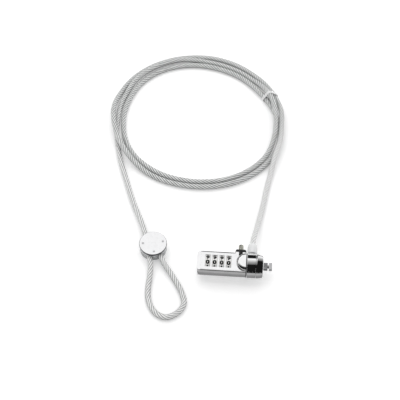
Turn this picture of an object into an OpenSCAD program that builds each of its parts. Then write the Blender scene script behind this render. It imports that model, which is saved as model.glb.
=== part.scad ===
// Combination cable lock for a laptop, in millimetres.
// +X runs along the lock's axis towards its T-bar, and +Z is up.
// The origin is on the surface it lies on, under the middle of the lock.

/* [Barrel] */
// Diameter of the barrel that holds the dials
barrel_d = 19.2; // [19:0.1:19.6]
// Length of the barrel, from its domed end to the seam
barrel_len = 38; // [37.4:0.1:40]
// Height of the flat dial face above the axis
flat_h = 4.4; // [4.35:0.05:4.6]
// Thickness of the face plate
plate_t = 1.2; // [1.1:0.05:1.25]
// Diameter of the studs that hold the face plate
stud_d = 1.2; // [1:0.1:1.3]
// Length of the studs that hold the face plate
stud_len = 2; // [1.5:0.1:2.4]
// Thickness of the end cap
cap_t = 3; // [2.6:0.1:3.2]
// Radius of the end cap's rounded edge
cap_round = 2.4; // [1.5:0.1:2.5]
// Wall between the mechanism's bay and the seam
front_wall = 2.1; // [1.8:0.1:2.2]
// Width of the two bays inside the barrel
bay_w = 14; // [13.9:0.1:14.1]
// Diameter of the shank of the end cap's screws
screw_d = 1.2; // [1:0.1:1.3]
// Diameter of the heads of the end cap's screws
screw_head_d = 2.1; // [1.8:0.1:2.2]
// Length of the end cap's screws in the barrel
screw_len = 4; // [3:0.1:5]

/* [Round boss on the face] */
// Diameter of the boss where it meets the face
boss_d = 15.4; // [14.6:0.1:16]
// Diameter of the boss's flat top
boss_top_d = 10.8; // [10:0.1:12]
// Height of the boss above the face
boss_h = 3.3; // [2.6:0.1:3.6]

/* [Swivel ring and nose] */
// Diameter of the swivel ring and of the nose
head_d = 19.6; // [19.4:0.1:20.4]
// Length between the seams on both sides of the swivel ring
ring_len = 7.8; // [7.6:0.1:8.4]
// Bevel on the edges of the swivel ring
ring_bevel = 0.25; // [0.1:0.05:0.4]
// Length of the nose
nose_len = 5.7; // [5.4:0.1:6.6]
// How much the nose's radius shrinks towards its front
nose_taper = 0.5; // [0.2:0.1:0.8]
// Radius of the nose's rounded front edge
nose_round = 1; // [0.3:0.1:1.2]
// Diameter of the barrel's neck, on which the ring turns
neck_d = 11; // [10.4:0.1:11.2]
// How far the neck reaches into the nose
neck_grip = 2.5; // [2:0.1:2.8]
// Thickness of the washer in the seam between the barrel and the ring
seam_washer_t = 0.6; // [0.5:0.05:0.7]
// How far the seam's washer stays inside the barrel's surface
seam_inset = 0.4; // [0.2:0.05:0.6]
// Thickness of the washer between the ring and the nose
nose_washer_t = 0.45; // [0.3:0.05:0.6]
// Width of the washer between the ring and the nose
nose_washer_w = 1; // [0.7:0.1:1.1]

/* [T-bar] */
// Length of the T-bar's head
tee_len = 6.6; // [6:0.1:6.8]
// Width of the T-bar's head
tee_w = 2.8; // [2.4:0.1:2.9]
// Thickness of the T-bar's head
tee_t = 2.4; // [2:0.1:2.6]
// Length of the bare stem between the nose and the head
stem_len = 4.3; // [4:0.1:5]
// Diameter of the T-bar's stem
stem_d = 2.8; // [2.6:0.1:2.8]
// Diameter of the T-bar's tail, which carries the pinion
tail_d = 1.6; // [1.4:0.05:1.65]
// Distance over both guard jaws
guard_span = 6.4; // [6:0.1:6.6]
// Thickness of the guard jaws
guard_t = 2.6; // [2.4:0.1:2.8]
// How far the guard jaws stand out of the nose
guard_reach = 3.3; // [2.6:0.1:3.3]
// How deep the guard jaws sit in the nose
guard_sink = 1.8; // [1.4:0.1:1.9]
// Outer diameter of the retaining clip
clip_d = 5.2; // [4.4:0.1:5.6]
// Thickness of the retaining clip
clip_t = 0.6; // [0.5:0.05:0.7]
// Depth of the clip's groove in the stem
clip_groove = 0.3; // [0.2:0.05:0.4]

/* [Pinion and rack] */
// Pitch diameter of the pinion
pinion_pitch_d = 3.2; // [3.1:0.05:3.25]
// Height of a tooth above the pitch line
tooth_add = 0.32; // [0.26:0.01:0.34]
// Depth of a tooth below the pitch line
tooth_ded = 0.48; // [0.46:0.01:0.5]
// Width of the pinion's teeth
pinion_w = 1.8; // [1.4:0.1:1.9]

/* [Push button] */
// Distance from the seam back to the button's axis
button_back = 4.4; // [4.3:0.05:4.5]
// Diameter of the button
button_d = 3.9; // [3.4:0.1:4]
// How far the button stands out of its collar
button_reach = 5.1; // [4.6:0.1:5.8]
// Height of the rack bar
bar_h = 0.9; // [0.85:0.05:0.95]
// Width of the rack bar
bar_w = 2; // [1.9:0.1:2.1]
// How far the collar's seat stands out from the barrel
collar_stand = 0.2; // [0.1:0.05:0.5]
// Diameter of the collar's flange
collar_d = 8.6; // [8.2:0.1:8.8]
// Thickness of the collar's flange
collar_t = 1.6; // [1.3:0.1:1.8]
// Height of the collar's flat top above the dial face
collar_flat = 0.7; // [0.6:0.1:1]
// Diameter of the collar's shank
collar_shank_d = 4.7; // [4.5:0.05:4.75]
// Outer diameter of the return spring
spring_d = 1.2; // [1:0.1:1.4]
// Diameter of the return spring's wire
spring_wire = 0.22; // [0.18:0.01:0.24]
// Number of turns of the return spring
spring_turns = 6; // [4:1:7]

/* [Dials] */
// Number of dials
dial_count = 4; // [4:1:4]
// Diameter of each dial
dial_d = 13.2; // [13:0.1:13.3]
// Width of each dial
dial_w = 3.6; // [3.3:0.1:3.7]
// Distance from one dial to the next
dial_pitch = 5.4; // [5.35:0.05:5.5]
// Distance from the seam to the middle of the nearest dial
dial_back = 13.4; // [13.2:0.1:13.6]
// Room round the dials in their bay
dial_room = 0.4; // [0.35:0.05:0.45]
// Gap between a dial and the sides of its window
window_gap = 0.15; // [0.1:0.01:0.2]
// Bore of each dial, which its hub fills
dial_bore_d = 6.8; // [6.7:0.05:6.9]
// Numbers on a dial, which is also the number of its detents
dial_numbers = 10; // [8:1:10]
// Diameter of each hub's detent wheel
star_d = 7; // [6.9:0.05:7.1]
// Width of the detent wheel
star_w = 0.6; // [0.5:0.05:0.65]
// Depth of the detents
star_depth = 0.3; // [0.15:0.05:0.35]
// Length of each hub
hub_len = 5; // [4.9:0.05:5.05]
// Width of each finger of the detent spring
finger_w = 0.5; // [0.4:0.05:0.55]
// Thickness of the detent spring's strip
leaf_t = 0.3; // [0.2:0.05:0.35]
// Width of the detent spring's strip
leaf_w = 2.6; // [2:0.1:2.8]

/* [Locking shaft] */
// Diameter of the locking shaft
shaft_d = 3.2; // [3:0.1:3.3]
// Reach of a fin from the shaft's axis
fin_reach = 2.6; // [2.3:0.1:2.7]
// Width of a fin along the shaft
fin_w = 0.9; // [0.8:0.05:0.95]
// Breadth of a fin across the shaft
fin_breadth = 1.4; // [1:0.1:1.6]
// How far the shaft slides when the button is pressed
shaft_travel = 1.2; // [1:0.05:1.2]

/* [Ferrule and boot] */
// Diameter of the ferrule's shank in the ring
ferrule_d = 5.4; // [5.3:0.1:5.6]
// Distance from the nose's seam back to the ferrule's axis
ferrule_back = 3.3; // [3.25:0.05:3.5]
// Diameter of the ferrule's flange
ferrule_flange_d = 6.2; // [6:0.05:6.25]
// Thickness of the ferrule's flange
ferrule_flange_t = 1; // [0.8:0.1:1.3]
// Length of the ferrule's stub under the boot
ferrule_stub = 3; // [2.4:0.1:4]
// Diameter of the ferrule's stub under the boot
ferrule_stub_d = 5.6; // [5.4:0.1:6]
// Length of the boot
boot_len = 9.2; // [8.6:0.1:10]
// Diameter of the boot
boot_d = 7.8; // [7.2:0.1:8]
// Diameter of the boot's narrow end
boot_tip_d = 5.4; // [5.2:0.1:5.8]

/* [Cable] */
// Diameter of the cable over its clear cover
cable_d = 4.4; // [4:0.1:4.4]
// Radius of the coil's outer strand
coil_r = 72.6; // [70:0.1:75]
// Distance between strands that lie against each other
strand_pitch = 5; // [4.9:0.05:5.2]
// Width of the clear tie round the coil
tie_w = 2.6; // [2:0.1:3]
// Thickness of the tie
tie_t = 0.4; // [0.3:0.05:0.6]

/* [Anchor puck] */
// Diameter of the puck's cover
puck_d = 22; // [21.6:0.1:22.6]
// Height of the puck
puck_h = 9; // [8.8:0.1:10]
// Thickness of the puck's cover
cover_t = 1.3; // [1.1:0.1:1.6]
// Height of the shadow gap under the cover's edge
cover_gap = 0.8; // [0.6:0.1:0.9]
// Depth of the shadow gap
cover_gap_depth = 1.2; // [0.8:0.1:1.3]
// How far the base stays inside the cover's edge
base_inset = 0.3; // [0.1:0.1:0.5]
// Number of grooves round the base
groove_count = 4; // [3:1:5]
// Distance from one groove to the next
groove_pitch = 1.3; // [1.1:0.05:1.3]
// Width of each groove
groove_w = 0.6; // [0.4:0.05:0.8]
// Depth of each groove
groove_depth = 0.35; // [0.2:0.05:0.4]
// Diameter of each rivet
rivet_d = 1.4; // [1:0.1:1.5]
// Radius of the circle of rivets
rivet_r = 7.9; // [7.8:0.1:8.1]
// Outer diameter of the crimp sleeve on the cable's end
crimp_d = 5.8; // [5.4:0.1:5.9]
// Length of the crimp sleeve
crimp_len = 4; // [3.2:0.1:4.2]

/* [Clearances] */
// Radial play of a shaft that turns or slides in its hole
run_gap = 0.05; // [0.03:0.01:0.09]
// Gap round pieces that are pressed or set into each other
seat_gap = 0.02; // [0.01:0.01:0.03]
// Gap between faces that turn past each other
face_gap = 0.1; // [0.08:0.01:0.15]
// Free room round moving pieces inside the bays
free_gap = 0.3; // [0.25:0.05:0.3]
// Gap round the cable in the pieces that it passes through
cable_gap = 0.1; // [0.05:0.01:0.15]

/* [Hidden] */
$fn = 64;

// Places along the lock's axis, from its domed end to its T-bar
lock_len = barrel_len + ring_len + nose_len + stem_len + tee_t;
x_left = -lock_len / 2;
x_bay_left = x_left + cap_t;
x_seam = x_left + barrel_len;
x_ring_end = x_seam + ring_len;
x_neck_end = x_ring_end + neck_grip;
x_nose_end = x_ring_end + nose_len;
x_ring = x_seam + seam_washer_t + face_gap;
x_tee = x_nose_end + stem_len;
x_button = x_seam - button_back;
x_bay_right = x_seam - front_wall;

// Radii, and heights and distances from the lock's axis
barrel_r = barrel_d / 2;
head_r = head_d / 2;
bay_r = bay_w / 2;
dial_r = dial_d / 2;
dial_bay_r = dial_r + dial_room;
stem_r = stem_d / 2;
shaft_r = shaft_d / 2;
plate_z = flat_h - plate_t;
wall_mid = (dial_bay_r + barrel_r) / 2;
plate_half = sqrt(pow(barrel_r, 2) - pow(flat_h, 2));

// Reach of a cut that clears the whole lock
far = barrel_r + head_r;

// The lock lies on its ring and nose, and the button stands out behind
collar_seat = barrel_r + collar_stand;
button_tip = collar_seat + collar_t + button_reach;
axis_y = (head_r - button_tip) / 2;
axis_z = head_r;

// Pinion and rack: a quarter turn of the T-bar is one press of the button
pinion_teeth = 8;
pitch_r = pinion_pitch_d / 2;
button_travel = pitch_r * PI / 2;
tooth_pitch = PI * pinion_pitch_d / pinion_teeth;
bar_z = pitch_r + tooth_ded;
button_z = bar_z + bar_h / 2;
bar_end = 2.1;
rack_teeth = [-1:3];
pinion_left = x_button - pinion_w / 2;
x_shoulder = x_bay_right - free_gap;

// The wedge on the rack bar drives the follower on the locking shaft
wedge_slope = shaft_travel / button_travel;
follower_t = 0.8;
follower_half = 0.8;
follower_right = pinion_left - free_gap - follower_half * wedge_slope - 0.25;
follower_top = bar_z + bar_h - 0.2;

// Dials, counted from the domed end
x_dial_1 = x_seam - dial_back - (dial_count - 1) * dial_pitch;
function dial_x(i) = x_dial_1 + (i - 1) * dial_pitch;
hub_r = dial_bore_d / 2 - seat_gap;
fin_offset = 1.2;
hub_recess_r = fin_reach + free_gap;
hub_web_end = fin_offset - shaft_travel - free_gap;
web_left = dial_x(dial_count) + hub_len / 2 + free_gap;
web_right = follower_right - follower_t - shaft_travel - free_gap;
gate_angles = [108, 252, 36, 180];
leaf_z = -(dial_r + free_gap + leaf_t + 0.3);
cap_bore = shaft_travel + 0.9;
cap_boss_r = hub_r - 0.3;

// Ferrule and boot, measured backwards from the lock's axis
x_ferrule = x_ring_end - ferrule_back;
ferrule_root = neck_d / 2 + 0.9;
ferrule_seat = head_r - 0.5;
boot_start = ferrule_seat + ferrule_flange_t;
boot_tip = boot_start + boot_len;
cable_r = cable_d / 2;
cable_stop = ferrule_root + 0.8;
cable_bore_r = cable_r + cable_gap;

// Coil: two and a half turns, from the lock's leg to the anchor's leg.
// The first turn stays outside, passes over the leaving third turn on the left, and
// becomes the second by crossing under the lock's leg and the third to the inside.
// The third lies between the other two, and rides in their groove at the back.
// Moves are [from, to, by]: degrees along the cable, and how many strand pitches
// the cable moves outwards, or up.
coil_x = -39;
coil_y = 148;
coil_end = 900;
ring_step = 15;
sway = [
    [15, 45, -0.24], [50, 90, 0.28], [85, 150, 0.4], [165, 200, -0.48], [258, 320, 0.68],
    [325, 405, -2.86],
    [425, 495, 0.88], [500, 525, -0.24], [540, 585, 0.54], [618, 680, 0.66], [688, 722, -0.66],
    [735, 765, -0.2], [780, 855, 0.78], [860, 885, -0.12]
];
climb = [
    [2, 22, -1], [158, 182, 1], [212, 242, -1],
    [685, 708, 1], [740, 770, -1], [804, 832, 0.64], [862, 884, -0.64]
];
tie_at = 25;
tie_gap = 0.35;
tie_lift = tie_t + tie_gap + 0.05;
tie_span = 25;

// Puck
puck_x = -65;
puck_y = 13;
puck_r = puck_d / 2;
rivet_angles = [15, 185, 281];
base_r = puck_r - base_inset;
cover_z = puck_h - cover_t;

// Routes of the cable's free stretches
lock_leg_route = [
    [x_ferrule, axis_y + cable_stop, axis_z], [x_ferrule, axis_y + boot_tip, axis_z],
    [14, 22.5, 9.4], [15.3, 30, 7.2], [16.8, 39, 4.4], [18.4, 48.5, 2.7], [20.2, 58.5, 2.2],
    [21.7, 69, 2.2], [23.3, 80, 2.2], [25.3, 90, 2.3], [26.8, 99, 3.8], [28.3, 106, 6.2],
    [29.8, 112.5, 7.2], [31.6, 120, 7.2], [32.9, 127, 7.2], [33.5, 133.5, 7.2],
    [coil_x + coil_r, coil_y - 2 * cable_d, cable_r + strand_pitch],
    [coil_x + coil_r, coil_y - cable_d, cable_r + strand_pitch]
];
coil_last_r = coil_radius(coil_end);
anchor_leg_route = [
    [coil_x - coil_last_r, coil_y - cable_d, cable_r], [coil_x - coil_last_r, coil_y - 2 * cable_d, cable_r],
    [-108.2, 131, 2.2], [-106.8, 121, 2.2],
    [-104.2, 110, 2.2], [-101, 98, 2.2], [-97.2, 87, 2.2], [-93.2, 76, 2.2], [-89.2, 65, 2.2],
    [-84.9, 54, 2.4], [-80.2, 43.5, 3], [-76.3, 34.8, 3.6], [-74, 28.5, 3.8], [-72.5, 23, 3.8],
    [-69.8, 13.2, 3.8]
];
loop_route = [
    [-69.8, 13.2, 3.8], [-66.7, 1.95, 3.8], [-65.5, -4.5, 3.5], [-65.2, -13, 2.6], [-65.5, -22, 2.2],
    [-65, -31, 2.2], [-62.2, -39.5, 2.2], [-57, -46, 2.2], [-50, -48.6, 2.2], [-43.4, -46, 2.2],
    [-38.6, -41, 2.2], [-36.8, -34.5, 2.2], [-38.8, -27.6, 2.2], [-42.2, -20.7, 2.3],
    [-46.4, -14, 2.6], [-51.2, -7.4, 3.2], [-54.8, -2.4, 3.6], [-57.2, 2.2, 3.8], [-62.3, 11, 3.8]
];
channel_in = anchor_leg_route[len(anchor_leg_route) - 2];
channel_out = loop_route[1];
loop_in = loop_route[len(loop_route) - 2];
loop_end = loop_route[len(loop_route) - 1];

// ---- Shared shapes ----

// Moves a shape drawn along Z onto the lock's axis, with its base at x
module along_axis(x) {
    translate([x, axis_y, axis_z]) rotate([0, 90, 0]) children();
}

// Cylinder on the lock's axis
module rod(x0, x1, r) {
    along_axis(x0) cylinder(h = x1 - x0, r = r);
}

// Block given by two corners, measured from the lock's axis
module block(low, high) {
    translate([low.x, axis_y + low.y, axis_z + low.z])
        cube([high.x - low.x, high.y - low.y, high.z - low.z]);
}

// Cylinder that points backwards, with y0 and y1 measured from the lock's axis
module back_rod(x, z, y0, y1, r) {
    translate([x, axis_y + y0, axis_z + z]) rotate([-90, 0, 0]) cylinder(h = y1 - y0, r = r);
}

// Cylinder between two points of equal height
module level_rod(from, to, r, past = 0) {
    run = to - from;
    translate(from) rotate([0, 0, atan2(run.y, run.x)]) rotate([0, 90, 0])
        translate([0, 0, -past]) cylinder(h = norm(run) + 2 * past, r = r);
}

// Half profile of a disc with one rounded edge, radius over height
module round_disc_profile(r, h, round_r) {
    square([r - round_r, h]);
    square([r, h - round_r]);
    translate([r - round_r, h - round_r]) intersection() {
        circle(r = round_r);
        square(round_r);
    }
}

// Points of a quarter ellipse from its widest to its highest, round a centre
function quarter(centre, wide, high, steps = 8) =
    [for (k = [0:steps]) centre + [wide * cos(90 * k / steps), high * sin(90 * k / steps)]];

// Half profile of a ring with bevelled outer edges, radius over height
module ring_profile(inner, outer, h, bevel) {
    polygon([[inner, 0], [outer - bevel, 0], [outer, bevel], [outer, h - bevel], [outer - bevel, h], [inner, h]]);
}

// ---- Cable shapes ----

function unit(v) = v / norm(v);

// Smooth step from 0 to 1 as t runs from a to b
function ease(t, a, b) = let (u = max(0, min(1, (t - a) / (b - a)))) u * u * (3 - 2 * u);

// Direction of a route at one of its points
function heading(route, i) =
    i == 0 ? unit(route[1] - route[0]) :
    i == len(route) - 1 ? unit(route[i] - route[i - 1]) :
    unit(unit(route[i + 1] - route[i]) + unit(route[i] - route[i - 1]));

// One ring of points round a route, whose side looks away from the given upright
function ring_points(centre, along, r, sides, upright) =
    let (side = unit(cross(upright, along)), up = cross(along, side))
    [for (k = [0:sides - 1]) let (a = 360 * (k + 0.5) / sides) centre + r * (cos(a) * side + sin(a) * up)];

// One closed tube swept along a route, all in triangles
module swept_tube(route, r, sides, upright = [0, 0, 1]) {
    rings = len(route);
    rim = [for (i = [0:rings - 1]) each ring_points(route[i], heading(route, i), r, sides, upright)];
    walls = [for (i = [0:rings - 2]) for (k = [0:sides - 1])
        let (a = i * sides + k, b = i * sides + (k + 1) % sides)
        each [[a, a + sides, b], [b, a + sides, b + sides]]];
    last = (rings - 1) * sides;
    near_cap = [for (k = [0:sides - 1]) [rings * sides, k, (k + 1) % sides]];
    far_cap = [for (k = [0:sides - 1]) [rings * sides + 1, last + (k + 1) % sides, last + k]];
    polyhedron(points = concat(rim, [route[0], route[rings - 1]]), faces = concat(walls, near_cap, far_cap));
}

// Sum of the moves made by the angle a
function moved(a, moves) = [for (m = moves) m[2] * ease(a, m[0], m[1])] * [for (m = moves) 1];

// Lift of all strands where the tie passes under them
function lift(a) = let (off = (a % 360) - tie_at) tie_lift * ease(tie_span - abs(off), 0, tie_span / 2);

// Middle of the cable after a degrees of coil
function coil_radius(a) = coil_r + strand_pitch * moved(a, sway);
function coil_height(a) = cable_r + lift(a) + strand_pitch * (1 + moved(a, climb));
function coil_point(a) = [coil_x + coil_radius(a) * cos(a), coil_y + coil_radius(a) * sin(a), coil_height(a)];

coil_angles = concat([0], [for (a = [tie_at - ring_step:ring_step:coil_end - 1]) a], [coil_end]);
coil_turns = [for (a = coil_angles) coil_point(a)];
coil_route = concat(
    [coil_point(0) - [0, cable_d, 0]],
    coil_turns,
    [coil_point(coil_end) - [0, cable_d, 0]]);

// Least distance between the coil's turns, measured from points to segments
function to_segment(p, a, b) = let (s = b - a, t = max(0, min(1, (p - a) * s / (s * s)))) norm(p - a - t * s);
coil_least_gap = min([for (i = [0:len(coil_angles) - 1]) for (j = [0:len(coil_angles) - 2])
    if (abs(coil_angles[i] - coil_angles[j]) > 180) to_segment(coil_turns[i], coil_turns[j], coil_turns[j + 1])]) - cable_d;

// Length of a route
function route_length(route, i = 1) = i >= len(route) ? 0 : norm(route[i] - route[i - 1]) + route_length(route, i + 1);
cable_len = route_length(lock_leg_route) + route_length(coil_route)
    + route_length(anchor_leg_route) + route_length(loop_route);

echo(coil_least_gap = coil_least_gap, coil_length = route_length(coil_route), cable_length = cable_len);

// ---- Barrel and its covers ----

// Room inside the barrel: round below and open to the top
module bay(x0, x1, r) {
    rod(x0, x1, r);
    block([x0, -r, 0], [x1, r, far]);
}

// Studs of the face plate, or their holes
module studs(r, z0, z1) {
    for (x = [x_bay_left + 1.5, (web_left + web_right) / 2 - 0.4], side = [-1, 1])
        translate([x, axis_y + side * (dial_bay_r + plate_half) / 2, axis_z + z0]) cylinder(h = z1 - z0, r = r);
}

// Places of the end cap's screws, on the joint, looking outwards
module at_cap_screws() {
    for (side = [-1, 1])
        translate([x_bay_left, axis_y + side * wall_mid * cos(18), axis_z - wall_mid * sin(18)])
            rotate([0, -90, 0]) children();
}

// Outside of the barrel, with the stand that carries the button's collar
module barrel_body() {
    rod(x_bay_left, x_seam, barrel_r);
    back_rod(x_button, button_z, bay_r, collar_seat + 0.5, collar_d / 2 - 0.3);
}

// Seat of the button's collar in the barrel's back
module collar_cut() {
    back_rod(x_button, button_z, bay_r - 1, collar_seat + 1, collar_shank_d / 2 + seat_gap);
    back_rod(x_button, button_z, collar_seat - seat_gap, collar_seat + collar_t + 1, collar_d / 2 + seat_gap);
}

module barrel() {
    color("silver") difference() {
        union() {
            barrel_body();
            rod(x_seam - 0.5, x_neck_end, neck_d / 2);
        }
        block([x_left, -far, plate_z], [x_seam, far, far]);
        bay(x_bay_left - 1, web_left, dial_bay_r);
        bay(web_right, x_bay_right, bay_r);
        rod(web_left - 1, web_right + 1, shaft_r + run_gap);
        rod(x_bay_right - 1, x_neck_end + 1, stem_r + run_gap);
        block([x_bay_left - 1, -leaf_w / 2 - seat_gap, leaf_z - seat_gap], [web_left, leaf_w / 2 + seat_gap, 0]);
        collar_cut();
        studs(stud_d / 2 + seat_gap, plate_z - stud_len - 0.2, plate_z + 1);
        at_cap_screws() translate([0, 0, -screw_len - 0.2]) cylinder(h = screw_len + 1, r = screw_d / 2 + seat_gap);
    }
}

// Cover of the dials and of the mechanism, with the round boss at the seam
module face_plate() {
    color("gainsboro") difference() {
        union() {
            intersection() {
                barrel_body();
                block([x_left, -far, plate_z + seat_gap], [x_seam, far, flat_h]);
            }
            intersection() {
                translate([x_seam, axis_y, axis_z + flat_h - 0.2]) rotate_extrude() boss_profile();
                block([x_left, -far, 0], [x_seam, far, far]);
            }
            studs(stud_d / 2, plate_z - stud_len, plate_z + 0.5);
        }
        for (i = [1:dial_count])
            rod(dial_x(i) - dial_w / 2 - window_gap, dial_x(i) + dial_w / 2 + window_gap, dial_r + free_gap);
        rod(x_bay_left - 1, web_left, star_d / 2 + free_gap);
        collar_cut();
    }
}

// Half profile of the boss, which rounds off from its foot to its flat top
module boss_profile() {
    polygon(concat([[0, 0], [boss_d / 2, 0]],
        quarter([boss_top_d / 2, 0.2], (boss_d - boss_top_d) / 2, boss_h),
        [[0, boss_h + 0.2]]));
}

module end_cap() {
    color("silver") difference() {
        union() {
            translate([x_bay_left, axis_y, axis_z]) rotate([0, -90, 0])
                rotate_extrude() round_disc_profile(barrel_r, cap_t, cap_round);
            rod(x_bay_left - 0.5, dial_x(1) - hub_len / 2 - free_gap, cap_boss_r);
        }
        block([x_left - 1, -far, flat_h], [x_bay_left + 1, far, far]);
        rod(x_bay_left - cap_bore, dial_x(1), shaft_r + run_gap);
        at_cap_screws() {
            translate([0, 0, -1]) cylinder(h = cap_t, r = screw_d / 2 + seat_gap);
            translate([0, 0, 0.5]) cylinder(h = cap_t, r = screw_head_d / 2 + seat_gap);
        }
    }
}

module cap_screws() {
    color("dimgray") at_cap_screws() difference() {
        union() {
            translate([0, 0, -screw_len]) cylinder(h = screw_len + 0.6, r = screw_d / 2);
            translate([0, 0, 0.5 + seat_gap]) cylinder(h = 0.8, r = screw_head_d / 2);
        }
        translate([-0.2, -screw_head_d, 1]) cube([0.4, 2 * screw_head_d, 1]);
    }
}

module nose_cap() {
    clip_room = clip_t + 0.4;
    color("silver") difference() {
        along_axis(x_ring_end) rotate_extrude() nose_profile();
        rod(x_ring_end - 1, x_neck_end + seat_gap, neck_d / 2 + seat_gap);
        rod(x_neck_end, x_neck_end + clip_room, clip_d / 2 + free_gap);
        rod(x_neck_end, x_nose_end + 1, stem_r + run_gap);
        guard_bar(x_nose_end - guard_sink, x_nose_end + 1, seat_gap);
    }
}

// Half profile of the nose, which narrows in a shallow curve and has a rounded front edge
module nose_profile() {
    shoulder = nose_len - nose_round;
    polygon(concat([[0, 0]],
        [for (k = [0:5]) [head_r - nose_taper * k * k / 36, shoulder * k / 6]],
        quarter([head_r - nose_taper - nose_round, shoulder], nose_round, nose_round),
        [[0, nose_len]]));
}

// Flat bar with rounded ends that the guard jaws are cut from, or its seat
module guard_bar(x0, x1, room = 0) {
    reach = guard_span / 2 + room;
    intersection() {
        block([x0, -reach, -guard_t / 2 - room], [x1, reach, guard_t / 2 + room]);
        rod(x0, x1, reach);
    }
}

module guard_pins() {
    color("silver") difference() {
        guard_bar(x_nose_end - guard_sink + seat_gap, x_nose_end + guard_reach);
        rod(x_nose_end - guard_sink, x_nose_end + guard_reach + 1, stem_r + face_gap);
    }
}

// Washer round the neck, out to a radius
module washer(x, r, t) {
    along_axis(x) rotate_extrude() translate([neck_d / 2 + run_gap, 0]) square([r - neck_d / 2 - run_gap, t]);
}

module seam_washer() {
    color("dimgray") washer(x_seam + seat_gap, barrel_r - seam_inset, seam_washer_t - seat_gap);
}

module nose_washer() {
    color("dimgray") washer(x_ring_end - nose_washer_t, neck_d / 2 + nose_washer_w, nose_washer_t - seat_gap);
}

// ---- Dials ----

module dial(i) {
    color("whitesmoke") along_axis(dial_x(i) - dial_w / 2) rotate_extrude()
        ring_profile(dial_bore_d / 2, dial_r, dial_w, 0.3);
}

module dial_hub(i) {
    hub_left = dial_x(i) - hub_len / 2;
    dent_r = 0.7;
    color("goldenrod") difference() {
        union() {
            rod(hub_left, hub_left + hub_len, hub_r);
            rod(hub_left, hub_left + star_w, star_d / 2);
        }
        for (k = [0:dial_numbers - 1])
            along_axis(hub_left - 1) rotate([0, 0, 360 * k / dial_numbers])
                translate([star_d / 2 + dent_r - star_depth, 0, 0]) cylinder(h = star_w + 1, r = dent_r);
        rod(hub_left - 1, hub_left + hub_len + 1, shaft_r + run_gap);
        rod(dial_x(i) + hub_web_end, hub_left + hub_len + 1, hub_recess_r);
        along_axis(hub_left - 1) rotate([0, 0, gate_angles[i - 1]]) translate([0, -fin_breadth / 2 - run_gap, 0])
            cube([fin_reach + run_gap, fin_breadth + 2 * run_gap, hub_len]);
    }
}

// Comb spring that lies under the dials, with a finger for each hub
module detent_spring() {
    color("lightsteelblue") union() {
        block([x_bay_left + free_gap, -leaf_w / 2, leaf_z], [dial_x(dial_count), leaf_w / 2, leaf_z + leaf_t]);
        for (i = [1:dial_count])
            block([dial_x(i) - hub_len / 2 - 0.1, -leaf_w / 4, leaf_z],
                [dial_x(i) - hub_len / 2 - 0.1 + finger_w, leaf_w / 4, -star_d / 2 - face_gap]);
    }
}

// Shaft with a fin for each dial and the follower that the button's wedge pushes
module locking_shaft() {
    shaft_end = follower_right - follower_t;
    color("darkgray") union() {
        rod(x_bay_left - 0.8, shaft_end, shaft_r);
        for (i = [1:dial_count])
            block([dial_x(i) + fin_offset, -fin_breadth / 2, 0], [dial_x(i) + fin_offset + fin_w, fin_breadth / 2, fin_reach]);
        translate([shaft_end, axis_y, axis_z]) linear_extrude(height = follower_top) polygon([
            [-0.1, -follower_half], [follower_t + wedge_slope * follower_half, -follower_half],
            [follower_t - wedge_slope * follower_half, follower_half], [-0.1, follower_half]]);
    }
}

// ---- T-bar, its pinion and the push button ----

module t_bar() {
    groove_x = x_neck_end + 0.15;
    color("silver") difference() {
        union() {
            rod(pinion_left - free_gap, x_shoulder + 0.1, tail_d / 2);
            rod(x_shoulder, x_tee + 0.1, stem_r);
            intersection() {
                rod(x_tee, x_tee + tee_t, tee_len / 2);
                block([x_tee, -tee_len, -tee_w / 2], [x_tee + tee_t, tee_len, tee_w / 2]);
            }
        }
        along_axis(groove_x) rotate_extrude() translate([stem_r - clip_groove, 0])
            square([1, clip_t + 2 * seat_gap]);
    }
}

// Tooth of the pinion, drawn along +X in the plane of its end
module pinion_tooth(root) {
    base = tooth_pitch * 0.31;
    mid = tooth_pitch * 0.21;
    tip = tooth_pitch * 0.08;
    polygon([[root - 0.2, -base], [root, -base], [pitch_r, -mid], [pitch_r + tooth_add, -tip],
        [pitch_r + tooth_add, tip], [pitch_r, mid], [root, base], [root - 0.2, base]]);
}

module pinion() {
    root = pitch_r - tooth_ded;
    color("goldenrod") difference() {
        union() {
            rod(pinion_left, x_shoulder - seat_gap, root);
            along_axis(pinion_left) linear_extrude(height = pinion_w) for (k = [0:pinion_teeth - 1])
                rotate(360 * (k + 0.5) / pinion_teeth) pinion_tooth(root);
        }
        rod(pinion_left - 1, x_shoulder + 1, tail_d / 2 + seat_gap);
    }
}

module retaining_clip() {
    opening = 1.6;
    color("dimgray") difference() {
        along_axis(x_neck_end + 0.15 + seat_gap) rotate_extrude() translate([stem_r - clip_groove + seat_gap, 0])
            square([clip_d / 2 - stem_r + clip_groove - seat_gap, clip_t]);
        block([x_neck_end, -opening / 2, -clip_d], [x_neck_end + clip_t + 1, opening / 2, 0]);
    }
}

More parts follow.
